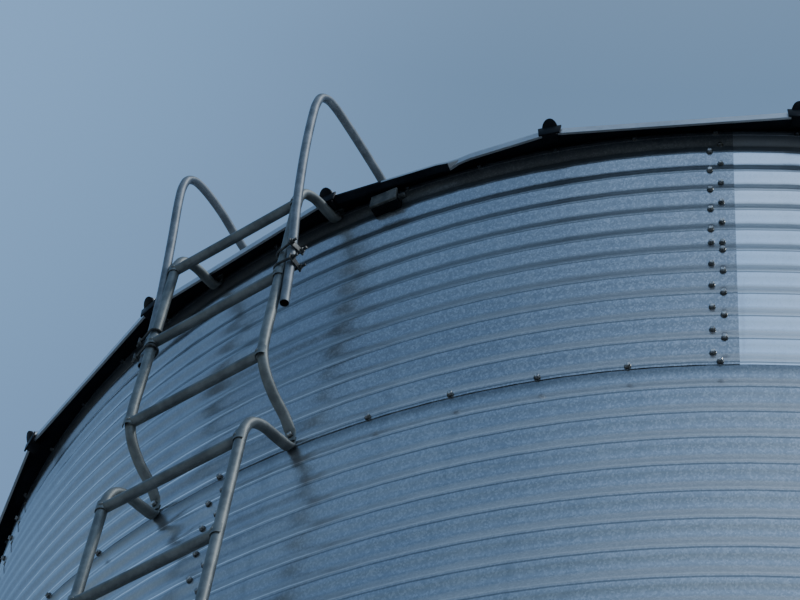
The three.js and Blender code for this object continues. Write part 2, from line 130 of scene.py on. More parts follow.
PANEL_TOWARDS = (0.742, -0.346, 0.574)
BRIGHT_TOWARDS = (-0.560, -0.020, 0.828)
DULL_TOWARDS = (-0.811, -0.582, 0.060)
dome = Finish(bpy.data.worlds.new("studio dome"))
bpy.context.scene.world = dome.owner
look = dome.node("TexCoord", out=0)
up = dome.node("SeparateXYZ", {0: look}, out=2)
dome_tone = dome.node(
    "ValToRGB",
    {0: up * 0.5 + 0.5},
    stops=[
        (0.46, (0.22, 0.24, 0.235)),
        (0.53, (0.19, 0.245, 0.25)),
        (0.60, (0.185, 0.255, 0.29)),
        (0.68, (0.175, 0.315, 0.565)),
        (0.84, (0.175, 0.315, 0.565)),
        (0.93, (0.165, 0.28, 0.46)),
        (0.98, (0.26, 0.40, 0.60)),
    ],
)
panel = dome.node("VectorMath", {0: look, 1: PANEL_TOWARDS}, out=1, operation="DOT_PRODUCT")
lit_tone = dome.mix(1.0, dome_tone, (2.95, 2.40, 2.05), "MULTIPLY")
dome_tone = dome.mix(panel.fade(0.58, 0.95), dome_tone, lit_tone)
bright = dome.node("VectorMath", {0: look, 1: BRIGHT_TOWARDS}, out=1, operation="DOT_PRODUCT")
dome_tone = dome.mix(bright.fade(0.88, 0.99), dome_tone, (0.26, 0.47, 0.80))
dull_side = dome.node("VectorMath", {0: look, 1: DULL_TOWARDS}, out=1, operation="DOT_PRODUCT")
dome_tone = dome.mix(dull_side.fade(0.86, 0.97), dome_tone, (0.33, 0.39, 0.385))
dome.node("OutputWorld", {0: dome.node("Background", {0: dome_tone, 1: 1.0})})

bpy.ops.object.light_add(type="SUN", rotation=[math.radians(a) for a in (40, 0, 98)])
lamp = bpy.context.object
lamp.name = "soft lamp"
lamp.data.energy = 1.3
lamp.data.angle = math.radians(8)

bpy.ops.mesh.primitive_circle_add(vertices=64, radius=60, fill_type="NGON", location=(0, 0, -0.001))
floor = bpy.context.object
floor.name = "floor"
pale = Finish(bpy.data.materials.new("pale floor"))
grain = pale.node("TexNoise", {"Vector": pale.node("TexCoord", out=3), "Scale": 3.0, "Detail": 4.0})
pale.surface(Base_Color=pale.mix(grain, (0.38, 0.38, 0.375), (0.43, 0.43, 0.42)), Roughness=0.9)
floor.data.materials.append(pale.owner)


# Wall sheets. Each ring of the shell is six roll formed sheets of spangled galvanised steel, eleven
# corrugations high. They lap over the ring below and over the next sheet round, and are bolted there.
RINGS = 7
RING = 1.1176
WAVES = 11
PITCH = RING / WAVES
ROWS_PER_WAVE = 8
ROW = PITCH / ROWS_PER_WAVE
WAVE_DEPTH = 0.0106
SHELL_RADIUS = 2.7287
SHELL_FOOT = 0.0063
WAVE_RISE = 0.0608
LAP_ROWS = 2
SHEETS = 6
SHEET_TURN = 360 / SHEETS
LAP_TURN = (0.75, 1.05)
LAP_STEP = 0.0016
SHEET_GAUGE = 0.0012
SLAB_HALF = 0.007
SEAT_GAP = 0.0003
LADDER_TURN = 5
OLD_TONES = 0.30
NEW_AND_SKY_SHEEN_TONE = 0.95
EAVE_EDGE = SHELL_FOOT + RINGS * RING + 0.011


def only(piece):
    """Selects one piece alone and makes it the active one."""
    bpy.ops.object.select_all(action="DESELECT")
    piece.select_set(True)
    bpy.context.view_layer.objects.active = piece


def edit(piece):
    """Puts one piece, alone, into edit mode."""
    only(piece)
    bpy.ops.object.mode_set(mode="EDIT")


def pick(piece, kind, test):
    """In edit mode, selects only the corners, edges or faces whose middle passes a test."""
    bpy.ops.mesh.select_mode(type=kind)
    bpy.ops.mesh.select_all(action="DESELECT")
    net = bmesh.from_edit_mesh(piece.data)
    if kind == "VERT":
        chosen = [v for v in net.verts if test(v.co)]
    elif kind == "EDGE":
        chosen = [e for e in net.edges if test((e.verts[0].co + e.verts[1].co) / 2)]
    else:
        chosen = [f for f in net.faces if test(f.calc_center_median())]
    for item in chosen:
        item.select = True
    net.select_flush_mode()
    bmesh.update_edit_mesh(piece.data)


def done():
    bpy.ops.object.mode_set(mode="OBJECT")


def settle(piece):
    """Applies a piece's place, turn and size to its mesh."""
    only(piece)
    bpy.ops.object.transform_apply(location=True, rotation=True, scale=True)


def add_modifier(piece, kind, **settings):
    modifier = piece.modifiers.new(kind.title(), kind)
    for name, value in settings.items():
        setattr(modifier, name, value)
    bpy.context.view_layer.objects.active = piece
    bpy.ops.object.modifier_apply(modifier=modifier.name)


def joined(parts):
    """Joins pieces into the first of them."""
    bpy.ops.object.select_all(action="DESELECT")
    for piece in parts:
        piece.select_set(True)
    bpy.context.view_layer.objects.active = parts[0]
    if len(parts) > 1:
        bpy.ops.object.join()
    return parts[0]


def repeated(model, places):
    """Copies one modelled piece to each of several places, given as matrices, and joins the copies."""
    copies = []
    for matrix in places:
        copy = model.copy()
        copy.data = model.data.copy()
        bpy.context.collection.objects.link(copy)
        copy.data.transform(matrix)
        copies.append(copy)
    return joined(copies)


def round_shell(degrees, rise=0):
    """The turn about the shell's axis that takes a piece from the front to an angle, and raises it."""
    axis = Matrix.Translation((0, SHELL_AXIS_Y, rise))
    return axis @ Matrix.Rotation(math.radians(degrees), 4, "Z") @ Matrix.Translation((0, -SHELL_AXIS_Y, 0))


def smooth(piece, degrees=40):
    only(piece)
    bpy.ops.object.shade_smooth_by_angle(angle=math.radians(degrees))


def on_root(piece, name, finish, slot_name, *replaced):
    """Names a piece, gives it the finish if one is passed, and lets it ride on the silo."""
    piece.name = name
    if finish:
        piece.data.materials.append(finish.owner)
    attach(piece, "root")
    if replaced:
        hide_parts(*replaced)


sheet_finish = Finish(bpy.data.materials.new("galvanised wall sheet"))
place = sheet_finish.node("TexCoord", out=3)
height = sheet_finish.node("SeparateXYZ", {0: place}, out=2)
tone = sheet_finish.node("Attribute", out=2, attribute_name="sheet tone")
cells = {"Vector": sheet_finish.node("Mapping", {0: place, 3: (1, 1, 0.8)}), "Scale": 230.0}
flake = sheet_finish.node("SeparateColor", {0: sheet_finish.node("TexVoronoi", cells, out=1)}, out=0)
patch = sheet_finish.node("TexNoise", {"Vector": place, "Scale": 1.1, "Detail": 3.0, "Roughness": 0.6})
streak_place = sheet_finish.node("Mapping", {0: place, 3: (16, 16, 0.8)})
streaks = {"Vector": streak_place, "Scale": 1.0, "Detail": 5.0, "Roughness": 0.65}
streak = sheet_finish.node("TexNoise", streaks)
wave = (height - (SHELL_FOOT + WAVE_RISE)) * (2 * math.pi / PITCH)
up_facing = wave.math("COSINE", wave).fade(0.05, -0.6)
# Painted reflection: a dark line along each crest.
crest_dark_reflection = wave.math("SINE", wave + 0.06).fade(0.970, 0.998)
# Painted highlight: a thin bright line on each corrugation.
highlight_line = wave.math("SINE", wave - 0.85).fade(0.965, 0.998)
# Painted shade: a dark line along each trough.
trough_shade = wave.math("SINE", wave).fade(-0.93, -1.0)
# Painted shade: a mask that rises over the top rows of the wall, under the eave.
eave_shade = height.fade(6.75, 7.35)
across = sheet_finish.node("SeparateXYZ", {0: place}, out=0)
ladder_side = across.fade(0.75, -0.25)
far_side = across.fade(-0.25, -0.70)
# Painted highlight: a thin bright line by each trough, on the far side.
trough_glint = wave.math("SINE", wave + 0.2).fade(-0.955, -0.995)
# Painted shadow: a dark band just below the lower edge of each lapping ring.
ring_part = (height - (SHELL_FOOT - LAP_ROWS * ROW)) / RING
lap_shadow = ring_part.math("FRACT", ring_part).fade(0.968, 0.997)
dull_sheet = sheet_finish.mix(patch.fade(0.35, 0.68), (0.325, 0.355, 0.385), (0.405, 0.43, 0.445))
# One sheet is newer, lighter zinc; its blue-white colour is also a painted reflection of a bright sky.
new_sheet_and_sky_sheen = sheet_finish.mix(patch.fade(0.3, 0.7), (0.70, 0.86, 1.0), (0.92, 0.97, 1.0))
sheet_tone = sheet_finish.mix(tone, dull_sheet, new_sheet_and_sky_sheen)
spangle = (1 - ladder_side * 0.6) * (1 - tone * 0.6)
sheet_tone = sheet_finish.mix(flake.fade(0.45, 0.0) * spangle * 0.20, sheet_tone, (0.16, 0.20, 0.24))
sheet_tone = sheet_finish.mix(flake.fade(0.45, 1.0) * spangle * 0.32, sheet_tone, (0.78, 0.82, 0.86))
sheet_tone = sheet_finish.mix(streak.fade(0.52, 0.78) * 0.20, sheet_tone, (0.56, 0.60, 0.62))
sheet_tone = sheet_finish.mix(streak.fade(0.46, 0.25) * 0.25, sheet_tone, (0.15, 0.18, 0.20))
# Up-facing slopes: light dust low on the wall, and painted eave shade, near black, on the top rows.
dust_and_eave_shade_tone = sheet_finish.mix(eave_shade, (0.43, 0.42, 0.42), (0.09, 0.11, 0.13))
sheet_tone = sheet_finish.mix(up_facing * (eave_shade * 0.33 + 0.42), sheet_tone, dust_and_eave_shade_tone)
# Painted highlights: the bright lines are mixed into the colour as white.
edge_glint = highlight_line * (1 - eave_shade) * (ladder_side * 0.80 + 0.15) * (1 - far_side)
sheet_tone = sheet_finish.mix(edge_glint, sheet_tone, (1.0, 1.0, 1.0))
sheet_tone = sheet_finish.mix(trough_glint * far_side * 0.9, sheet_tone, (1.0, 1.0, 1.0))
# Painted reflection: the dark crest line, weaker towards the ladder.
sheet_tone = sheet_finish.mix(crest_dark_reflection * (0.68 - ladder_side * 0.40), sheet_tone, (0.10, 0.12, 0.13))
# Painted shade: the dark trough line, left out on the far side.
sheet_tone = sheet_finish.mix(trough_shade * (1 - far_side) * 0.16, sheet_tone, (0.14, 0.17, 0.19))
# Painted shadow under the laps.
sheet_tone = sheet_finish.mix(lap_shadow * 0.55, sheet_tone, (0.06, 0.075, 0.085))
sheet_finish.surface(
    Base_Color=sheet_tone,
    Metallic=0.82,
    Roughness=(flake - 0.5) * 0.03 + 0.29 + streak.fade(0.5, 0.8) * 0.06,
    Normal=sheet_finish.node("Bump", {"Height": flake, "Strength": 0.012, "Distance": 0.002}),
)

# One sheet starts as an upright strip of steel, whose rows of points go in and out as the corrugation does,
# and which is then spun round the shell's axis.
rows = WAVES * ROWS_PER_WAVE + 2 * LAP_ROWS
bpy.ops.mesh.primitive_grid_add(x_subdivisions=1, y_subdivisions=rows, size=1)
sheet = bpy.context.object
sheet.scale = (0.01, rows * ROW, 1)
sheet.rotation_euler = (math.pi / 2, 0, 0)
sheet.location = (0.005, SHELL_AXIS_Y - SHELL_RADIUS, (rows / 2 - LAP_ROWS) * ROW)
settle(sheet)
edit(sheet)
pick(sheet, "VERT", lambda p: p.x > 0.005)
bpy.ops.mesh.delete(type="VERT")
for phase in range(ROWS_PER_WAVE):
    out = math.sin(2 * math.pi * (phase * ROW - WAVE_RISE) / PITCH) * WAVE_DEPTH / 2
    pick(sheet, "VERT", lambda p: round(p.z / ROW) % ROWS_PER_WAVE == phase)
    bpy.ops.transform.translate(value=(0, -out, 0))
bpy.ops.mesh.select_all(action="SELECT")
bpy.ops.mesh.spin(
    steps=25,
    angle=-math.radians(SHEET_TURN + sum(LAP_TURN)),
    center=(0, SHELL_AXIS_Y, 0),
    axis=(0, 0, 1),
)
bpy.ops.mesh.select_all(action="SELECT")
bpy.ops.mesh.normals_make_consistent(inside=False)
done()
for v in sheet.data.vertices:
    outward = Vector((v.co.x, v.co.y - SHELL_AXIS_Y, 0))
    turn = math.degrees(math.atan2(outward.x, -outward.y))
    v.co += outward.normalized() * LAP_STEP * (1 - v.co.z / RING + turn / SHEET_TURN)
add_modifier(sheet, "SOLIDIFY", thickness=SHEET_GAUGE, offset=-1)


def sheet_start(ring):
    """The angle of a ring's first upright seam. Neighbouring rings have theirs half a sheet apart."""
    return 30 if ring % 2 else 0


for ring in range(1, RINGS + 1):
    for part, letter in enumerate("abc"):
        pair = []
        for side in range(2):
            turn = sheet_start(ring) + part * 120 + side * SHEET_TURN - LAP_TURN[0]
            copy = repeated(sheet, [round_shell(turn, SHELL_FOOT + (ring - 1) * RING)])
            value = ((ring * SHEETS + part * 2 + side) * 0.618) % 1 * OLD_TONES
            # The newer sheet: lighter zinc, with painted sky reflection.
            if ring == RINGS and part == 0 and side == 0:
                value = NEW_AND_SKY_SHEEN_TONE
            mark = copy.data.attributes.new("sheet tone", "FLOAT", "POINT")
            mark.data.foreach_set("value", [value] * len(copy.data.vertices))
            pair.append(copy)
        both = joined(pair)
        edit(both)
        bpy.ops.mesh.select_all(action="SELECT")
        if ring == 1:
            bpy.ops.mesh.bisect(
                plane_co=(0, 0, SHELL_FOOT), plane_no=(0, 0, 1), clear_inner=True, use_fill=True
            )
        if ring == RINGS:
            bpy.ops.mesh.bisect(
                plane_co=(0, 0, EAVE_EDGE), plane_no=(0, 0, 1), clear_outer=True, use_fill=True
            )
        done()
        smooth(both)
        on_root(
            both, f"sheets_ring_{ring}{letter}", sheet_finish, "wall_sheet", f"wall_ring_{ring}{letter}"
        )
bpy.data.objects.remove(sheet)


# Seam bolts. Zinc plated hexagon bolts with a sealing washer under the head close the laps: one every five
# degrees along each level seam, and two staggered columns down each upright seam.
BOLT_STEP = 5
WASHER_RADIUS = 0.0098
WASHER_DEPTH = 0.003
HEAD_RADIUS = 0.0072
HEAD_HEIGHT = 0.0062
COLUMNS = (-0.387, 0.263)
CREST = -0.152
TROUGH = 0.348


def sheet_skin(turn, level):
    """How far from the axis the outermost sheet's face is, and how steeply it leans there."""
    ring = min(max(math.floor((level - SHELL_FOOT + LAP_ROWS * ROW) / RING), 0), RINGS - 1)
    rise = level - SHELL_FOOT - ring * RING
    along = (turn - sheet_start(ring + 1) + LAP_TURN[0]) % SHEET_TURN
    if along < sum(LAP_TURN):
        along += SHEET_TURN
    angle = 2 * math.pi * (rise - WAVE_RISE) / PITCH
    lap = LAP_STEP * (1 - rise / RING + along / SHEET_TURN)
    slope = math.cos(angle) * math.pi * WAVE_DEPTH / PITCH
    return SHELL_RADIUS + math.sin(angle) * WAVE_DEPTH / 2 + lap, slope


def on_skin(turn, level):
    """The place of a fixing whose model looks out along -Y, square to the sheet."""
    radius, slope = sheet_skin(turn, level)
    lean = Matrix.Rotation(math.atan(slope), 4, "X")
    return round_shell(turn) @ Matrix.Translation((0, SHELL_AXIS_Y - radius, level)) @ lean


washer_finish = Finish(bpy.data.materials.new("dull plated washers and screws"))
place = washer_finish.node("TexCoord", out=3)
dull = washer_finish.node("TexNoise", {"Vector": place, "Scale": 160.0, "Detail": 2.0})
washer_age = washer_finish.node("TexNoise", {"Vector": place, "Scale": 4.0, "Detail": 1.0})
washer_tone = washer_finish.mix(dull.fade(0.35, 0.65), (0.05, 0.055, 0.055), (0.13, 0.135, 0.13))
washer_tone = washer_finish.mix(washer_age.fade(0.55, 0.7) * 0.5, washer_tone, (0.22, 0.20, 0.17))
washer_finish.surface(Base_Color=washer_tone, Metallic=0.9, Roughness=dull * 0.2 + 0.22)

head_finish = Finish(bpy.data.materials.new("zinc plated bolt head"))
place = head_finish.node("TexCoord", out=3)
film = head_finish.node("TexNoise", {"Vector": place, "Scale": 120.0, "Detail": 2.0})
head_tone = head_finish.mix(film.fade(0.4, 0.65), (0.24, 0.25, 0.25), (0.52, 0.53, 0.52))
# Painted shade: heads close under the eave darken to near black.
head_eave_shade = head_finish.node("SeparateXYZ", {0: place}, out=2).fade(7.68, 7.79)
head_tone = head_finish.mix(head_eave_shade * 0.85, head_tone, (0.03, 0.033, 0.036))
head_finish.surface(Base_Color=head_tone, Metallic=0.85, Roughness=film * 0.2 + 0.25)

bpy.ops.mesh.primitive_cylinder_add(
    vertices=10,
    radius=WASHER_RADIUS,
    depth=WASHER_DEPTH,
    rotation=(math.pi / 2, 0, 0),
    location=(0, -0.0008, 0),
)
washer = bpy.context.object
settle(washer)
edit(washer)
pick(washer, "FACE", lambda p: p.y < -0.002)
bpy.ops.mesh.inset(thickness=0.0012)
bpy.ops.transform.translate(value=(0, -0.0010, 0))
done()
bpy.ops.mesh.primitive_cylinder_add(
    vertices=6,
    radius=HEAD_RADIUS,
    depth=HEAD_HEIGHT,
    rotation=(math.pi / 2, 0, 0),
    location=(0, -WASHER_DEPTH - HEAD_HEIGHT / 2, 0),
)
head = bpy.context.object
settle(head)
edit(head)
pick(head, "FACE", lambda p: p.y < -0.0085)
bpy.ops.mesh.inset(thickness=0.0011)
bpy.ops.transform.translate(value=(0, -0.0009, 0))
done()
washer.data.materials.append(washer_finish.owner)
head.data.materials.append(head_finish.owner)
bolt = joined([washer, head])

for row in range(RINGS + 1):
    level = SHELL_FOOT + row * RING + (CREST if row else TROUGH) * PITCH
    ladder_here = (LADDER_TURN, 360 - LADDER_TURN) if row else ()
    turns = [t for t in range(0, 360, BOLT_STEP) if t not in ladder_here]
    bolts = repeated(bolt, [on_skin(t, level) @ Matrix.Rotation(t * 0.7, 4, "Y") for t in turns])
    on_root(bolts, f"seam_bolts_level_{row + 1}", None, "wall_sheet")

for ring in range(1, RINGS + 1):
    foot = SHELL_FOOT + (ring - 1) * RING
    left = [k + TROUGH for k in range(0, 6)] + [k + CREST for k in range(6, 11)]
    right = [k + CREST for k in range(1, 6)] + [k + TROUGH for k in range(5, 11)]
    places = []
    for seam in range(SHEETS):
        turn = sheet_start(ring) + seam * SHEET_TURN
        for column, heights in zip(COLUMNS, (left, right)):
            for wave_number in heights:
                spot = on_skin(turn + column, foot + wave_number * PITCH)
                places.append(spot @ Matrix.Rotation(wave_number * 2.1, 4, "Y"))
    upright = repeated(bolt, places)
    on_root(upright, f"seam_bolts_upright_{ring}", None, "wall_sheet")

# Base angle. A rolled galvanised angle that the bottom ring stands on, held down by an anchor bolt between
# the two gussets of each bracket.
ANCHOR_RADIUS = SHELL_RADIUS + SLAB_HALF + 0.036
base_finish = Finish(bpy.data.materials.new("weathered base angle"))
place = base_finish.node("TexCoord", out=3)
low = base_finish.node("SeparateXYZ", {0: place}, out=2)
cloud = base_finish.node("TexNoise", {"Vector": place, "Scale": 9.0, "Detail": 5.0, "Roughness": 0.65})
base_tone = base_finish.mix(cloud.fade(0.35, 0.65), (0.28, 0.30, 0.31), (0.44, 0.46, 0.47))
base_tone = base_finish.mix(low.fade(0.03, 0.0) * cloud * 0.9, base_tone, (0.17, 0.14, 0.11))
base_finish.surface(
    Base_Color=base_tone,
    Metallic=0.85,
    Roughness=cloud * 0.25 + 0.35,
    Normal=base_finish.node("Bump", {"Height": cloud, "Strength": 0.15, "Distance": 0.002}),
)
for name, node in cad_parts.items():
    if name.startswith("base_angle"):
        node.data.materials.clear()
        node.data.materials.append(base_finish.owner)

bpy.ops.mesh.primitive_cylinder_add(vertices=12, radius=0.008, depth=0.05, location=(0, 0, 0.031))
anchor = bpy.context.object
edit(anchor)
pick(anchor, "FACE", lambda p: p.z > 0.02)
bpy.ops.mesh.inset(thickness=0.0015)
bpy.ops.transform.translate(value=(0, 0, 0.0015))
done()
settle(anchor)
bpy.ops.mesh.primitive_cylinder_add(vertices=6, radius=0.0145, depth=0.013, location=(0, 0, 0.0155))
nut = bpy.context.object
settle(nut)
add_modifier(nut, "BEVEL", width=0.0012, segments=1)
bpy.ops.mesh.primitive_cylinder_add(vertices=20, radius=0.018, depth=0.003, location=(0, 0, 0.0075))
pad = bpy.context.object
settle(pad)
anchor = joined([anchor, nut, pad])
spot = Matrix.Translation((0, SHELL_AXIS_Y - ANCHOR_RADIUS, 0))
anchors = repeated(anchor, [round_shell(15 + 30 * k) @ spot for k in range(12)])
bpy.data.objects.remove(anchor)
smooth(anchors)
on_root(anchors, "anchor_bolts", base_finish, "base_steel")

# Roof panels. Twenty-four flat panels of thin galvanised sheet, weathered grey on top and painted near
# black below as shade, with a faint mottle, each with its lip turned down and hemmed at the eave. One lip
# beside the ladder is knocked in.
PANEL_TURN = 15
HALF_PANEL = math.radians(PANEL_TURN / 2)
FIRST_RIB = 5
ROOF_SLOPE = math.radians(30)
EAVE_RADIUS = SHELL_RADIUS + 0.084
PANEL_INNER = 0.338
ROOF_GAUGE = 0.001
LIP = 0.024
HEM = 0.007
WALL_TOP = SHELL_FOOT + RINGS * RING + 0.012
WALL_REACH = (SHELL_RADIUS + SLAB_HALF) / math.cos(HALF_PANEL)
EAVE_HEIGHT = WALL_TOP + SEAT_GAP - (EAVE_RADIUS - WALL_REACH) * math.tan(ROOF_SLOPE)
DENT_AT = 0.055

roof_finish = Finish(bpy.data.materials.new("weathered roof sheet"))
place = roof_finish.node("TexCoord", out=3)
mottle = roof_finish.node("TexNoise", {"Vector": place, "Scale": 2.2, "Detail": 5.0, "Roughness": 0.6})
cells = roof_finish.node("TexVoronoi", {"Vector": place, "Scale": 70.0}, out=1)
cell = roof_finish.node("SeparateColor", {0: cells}, out=1)
roof_tone = roof_finish.mix(mottle.fade(0.3, 0.7), (0.36, 0.38, 0.39), (0.52, 0.54, 0.55))
roof_tone = roof_finish.mix((cell - 0.5) * 0.2 + 0.1, roof_tone, (0.64, 0.66, 0.67))
dents = mottle * 0.6 + cell * 0.05
roof_finish.surface(
    Base_Color=roof_tone,
    Metallic=0.9,
    Roughness=mottle * 0.2 + 0.30,
    Normal=roof_finish.node("Bump", {"Height": dents, "Strength": 0.25, "Distance": 0.006}),
)

# Painted shade: a near black finish with a faint mottle, for the roof's underside, the lip's inner face and
# hollows.
under_finish = Finish(bpy.data.materials.new("painted shade for the roof underside and hollows"))
place = under_finish.node("TexCoord", out=3)
dust = under_finish.node("TexNoise", {"Vector": place, "Scale": 7.0, "Detail": 5.0, "Roughness": 0.7})
under_tone = under_finish.mix(dust.fade(0.35, 0.65), (0.006, 0.008, 0.012), (0.016, 0.020, 0.026))
under_finish.surface(Base_Color=under_tone, Roughness=dust * 0.2 + 0.65, Specular_IOR_Level=0.06)

outer_middle = EAVE_RADIUS * math.cos(HALF_PANEL)
inner_middle = PANEL_INNER * math.cos(HALF_PANEL)
panel_rise = (EAVE_RADIUS - PANEL_INNER) * math.tan(ROOF_SLOPE)
panel_run = outer_middle - inner_middle
bpy.ops.mesh.primitive_plane_add(size=1)
panel = bpy.context.object
panel.scale = (2 * EAVE_RADIUS * math.sin(HALF_PANEL), math.hypot(panel_run, panel_rise), 1)
panel.rotation_euler = (math.atan2(panel_rise, panel_run), 0, 0)
panel.location = (0, SHELL_AXIS_Y - (outer_middle + inner_middle) / 2, EAVE_HEIGHT + panel_rise / 2)
settle(panel)
edit(panel)
pick(panel, "VERT", lambda p: p.z > EAVE_HEIGHT + panel_rise / 2)
bpy.ops.transform.resize(value=(PANEL_INNER / EAVE_RADIUS, 1, 1), center_override=(0, SHELL_AXIS_Y, 0))
bpy.ops.mesh.select_all(action="SELECT")
bpy.ops.mesh.subdivide(number_cuts=19)
pick(panel, "EDGE", lambda p: p.z < EAVE_HEIGHT + 0.001)
bpy.ops.mesh.extrude_region_move(TRANSFORM_OT_translate={"value": (0, 0, -LIP / 3)})
bpy.ops.mesh.extrude_region_move(TRANSFORM_OT_translate={"value": (0, 0, -LIP * 2 / 3)})
bpy.ops.mesh.extrude_region_move(TRANSFORM_OT_translate={"value": (0, HEM, 0.001)})
bpy.ops.mesh.select_all(action="SELECT")
bpy.ops.mesh.normals_make_consistent(inside=False)
done()
if sum(face.normal.z for face in panel.data.polygons) < 0:
    edit(panel)
    bpy.ops.mesh.select_all(action="SELECT")
    bpy.ops.mesh.flip_normals()
    done()
add_modifier(panel, "SOLIDIFY", thickness=ROOF_GAUGE, offset=1)
for finish in (roof_finish, under_finish):
    panel.data.materials.append(finish.owner)
# Faces under the panel and on the lip's inner side take the painted shade finish.
for face in panel.data.polygons:
    on_lip = face.center.z < EAVE_HEIGHT - 0.0005
    if (on_lip and face.normal.y > 0.3) or (not on_lip and face.normal.z < -0.3):
        face.material_index = 1

knocked = panel.copy()
knocked.data = panel.data.copy()
bpy.context.collection.objects.link(knocked)
edit(knocked)
pick(knocked, "VERT", lambda p: p.z < EAVE_HEIGHT - 0.012 and p.x < DENT_AT)
bpy.ops.transform.translate(value=(0, 0.017, 0.012))
pick(knocked, "VERT", lambda p: p.z < EAVE_HEIGHT + 0.004 and abs(p.x - DENT_AT) < 0.03)
bpy.ops.transform.translate(value=(0, 0.002, -0.004))
done()
# Painted shade: the knocked lip's turned under faces take the near black finish.
for face in knocked.data.polygons:
    dark_to = DENT_AT if face.center.z < EAVE_HEIGHT - 0.006 else DENT_AT - 0.25
    if face.center.z < EAVE_HEIGHT - 0.001 and face.center.x < dark_to:
        face.material_index = 1


def eave_line(degrees):
    """A place on the sheet at the eave, on a rib's line, with its Y axis up the slope."""
    tilt = Matrix.Rotation(ROOF_SLOPE, 4, "X")
    edge = Matrix.Translation((0, SHELL_AXIS_Y - EAVE_RADIUS, EAVE_HEIGHT + ROOF_GAUGE))
    return round_shell(degrees) @ edge @ tilt


for sector in range(6):
    middles = [FIRST_RIB + PANEL_TURN / 2 + PANEL_TURN * (4 * sector + k) for k in range(4)]
    whole = repeated(panel, [round_shell(m) for m in middles[1 if sector == 0 else 0:]])
    if sector == 0:
        whole = joined([whole, repeated(knocked, [round_shell(middles[0])])])
    on_root(whole, f"roof_panels_{sector + 1}", None, "roof_sheet", f"roof_sector_{sector + 1}")
bpy.data.objects.remove(panel)
bpy.data.objects.remove(knocked)

# Roof ribs. A rounded rib of folded sheet covers each joint between two panels, screwed down through its
# flanges; its open end at the eave is closed by a black moulded plug that hangs over the lip.
RIB_HALF_WIDTH = 0.022
RIB_RISE = 0.032
RIB_FLANGE = 0.007
RIB_END_RADIUS = 0.375
SCREW_SPACING = 0.42
rib_length = (EAVE_RADIUS - RIB_END_RADIUS) / math.cos(ROOF_SLOPE)
bpy.ops.mesh.primitive_circle_add(vertices=20, radius=1, fill_type="NOTHING", rotation=(math.pi / 2, 0, 0))
rib = bpy.context.object
settle(rib)
edit(rib)
pick(rib, "VERT", lambda p: p.z < -0.01)
bpy.ops.mesh.delete(type="VERT")
bpy.ops.mesh.select_all(action="SELECT")
bpy.ops.transform.resize(value=(RIB_HALF_WIDTH, 1, RIB_RISE), center_override=(0, 0, 0))
pick(rib, "VERT", lambda p: 0.3 * RIB_RISE < p.z < 0.9 * RIB_RISE)
bpy.ops.transform.resize(value=(1.07, 1, 1.03), center_override=(0, 0, 0))
for side in (-1, 1):
    pick(rib, "VERT", lambda p: p.x * side > RIB_HALF_WIDTH * 0.98 and p.z < 0.001)
    bpy.ops.mesh.extrude_region_move(TRANSFORM_OT_translate={"value": (side * RIB_FLANGE, 0, -0.001)})
bpy.ops.mesh.select_all(action="SELECT")
bpy.ops.mesh.extrude_region_move(TRANSFORM_OT_translate={"value": (0, rib_length, 0)})
bpy.ops.mesh.select_all(action="SELECT")
bpy.ops.mesh.normals_make_consistent(inside=False)
done()
if sum(face.normal.z * face.area for face in rib.data.polygons) < 0:
    edit(rib)
    bpy.ops.mesh.select_all(action="SELECT")
    bpy.ops.mesh.flip_normals()
    done()
add_modifier(rib, "SOLIDIFY", thickness=0.0009, offset=1)

bpy.ops.mesh.primitive_cylinder_add(vertices=6, radius=0.0052, depth=0.004, location=(0, 0, 0.0025))
screw = bpy.context.object
settle(screw)
edit(screw)
pick(screw, "FACE", lambda p: p.z > 0.004)
bpy.ops.mesh.inset(thickness=0.0012)
bpy.ops.transform.translate(value=(0, 0, 0.0008))
done()

plug_finish = Finish(bpy.data.materials.new("black moulded plastic"))
place = plug_finish.node("TexCoord", out=3)
grit = plug_finish.node("TexNoise", {"Vector": place, "Scale": 220.0, "Detail": 3.0})
scuff = plug_finish.node("TexNoise", {"Vector": place, "Scale": 38.0, "Detail": 4.0, "Roughness": 0.7})
plug_tone = plug_finish.mix(scuff.fade(0.62, 0.72) * 0.5, (0.003, 0.004, 0.006), (0.06, 0.065, 0.07))
plug_finish.surface(
    Base_Color=plug_tone,
    Specular_IOR_Level=0.12,
    Roughness=grit * 0.3 + 0.28,
    Normal=plug_finish.node("Bump", {"Height": grit, "Strength": 0.2, "Distance": 0.001}),
)
bpy.ops.mesh.primitive_cylinder_add(vertices=24, radius=1, depth=0.006, rotation=(math.pi / 2, 0, 0))
dome_plug = bpy.context.object
dome_plug.location = (0, -0.003, 0)
dome_plug.scale = (RIB_HALF_WIDTH + 0.001, 1, 1)
settle(dome_plug)
edit(dome_plug)
bpy.ops.mesh.select_all(action="SELECT")
bpy.ops.transform.resize(value=(1, 1, RIB_RISE + 0.002), center_override=(0, 0, 0))
pick(dome_plug, "VERT", lambda p: p.z < -0.001)
bpy.ops.transform.resize(value=(1, 1, 0.15), center_override=(0, 0, 0))
done()
add_modifier(dome_plug, "BEVEL", width=0.0018, segments=2, limit_method="ANGLE")
dome_plug.data.transform(Matrix.Rotation(ROOF_SLOPE, 4, "X"))
bpy.ops.mesh.primitive_cube_add(size=1)
skirt = bpy.context.object
skirt.scale = (0.073, 0.006, LIP + 0.015)
skirt.location = (0, -0.0042, 0.004 - (LIP + 0.015) / 2)
settle(skirt)
edit(skirt)
pick(skirt, "VERT", lambda p: p.z < -LIP / 2)
bpy.ops.transform.resize(value=(0.88, 1, 1), center_override=(0, 0, 0))
done()
add_modifier(skirt, "BEVEL", width=0.0022, segments=2, limit_method="ANGLE")
bpy.ops.mesh.primitive_cube_add(size=1)
stopper = bpy.context.object
stopper.scale = (0.048, 0.034, 0.034)
stopper.location = (0, 0.014, -0.018)
settle(stopper)
add_modifier(stopper, "BEVEL", width=0.005, segments=2, limit_method="ANGLE")
plug = joined([dome_plug, skirt, stopper])

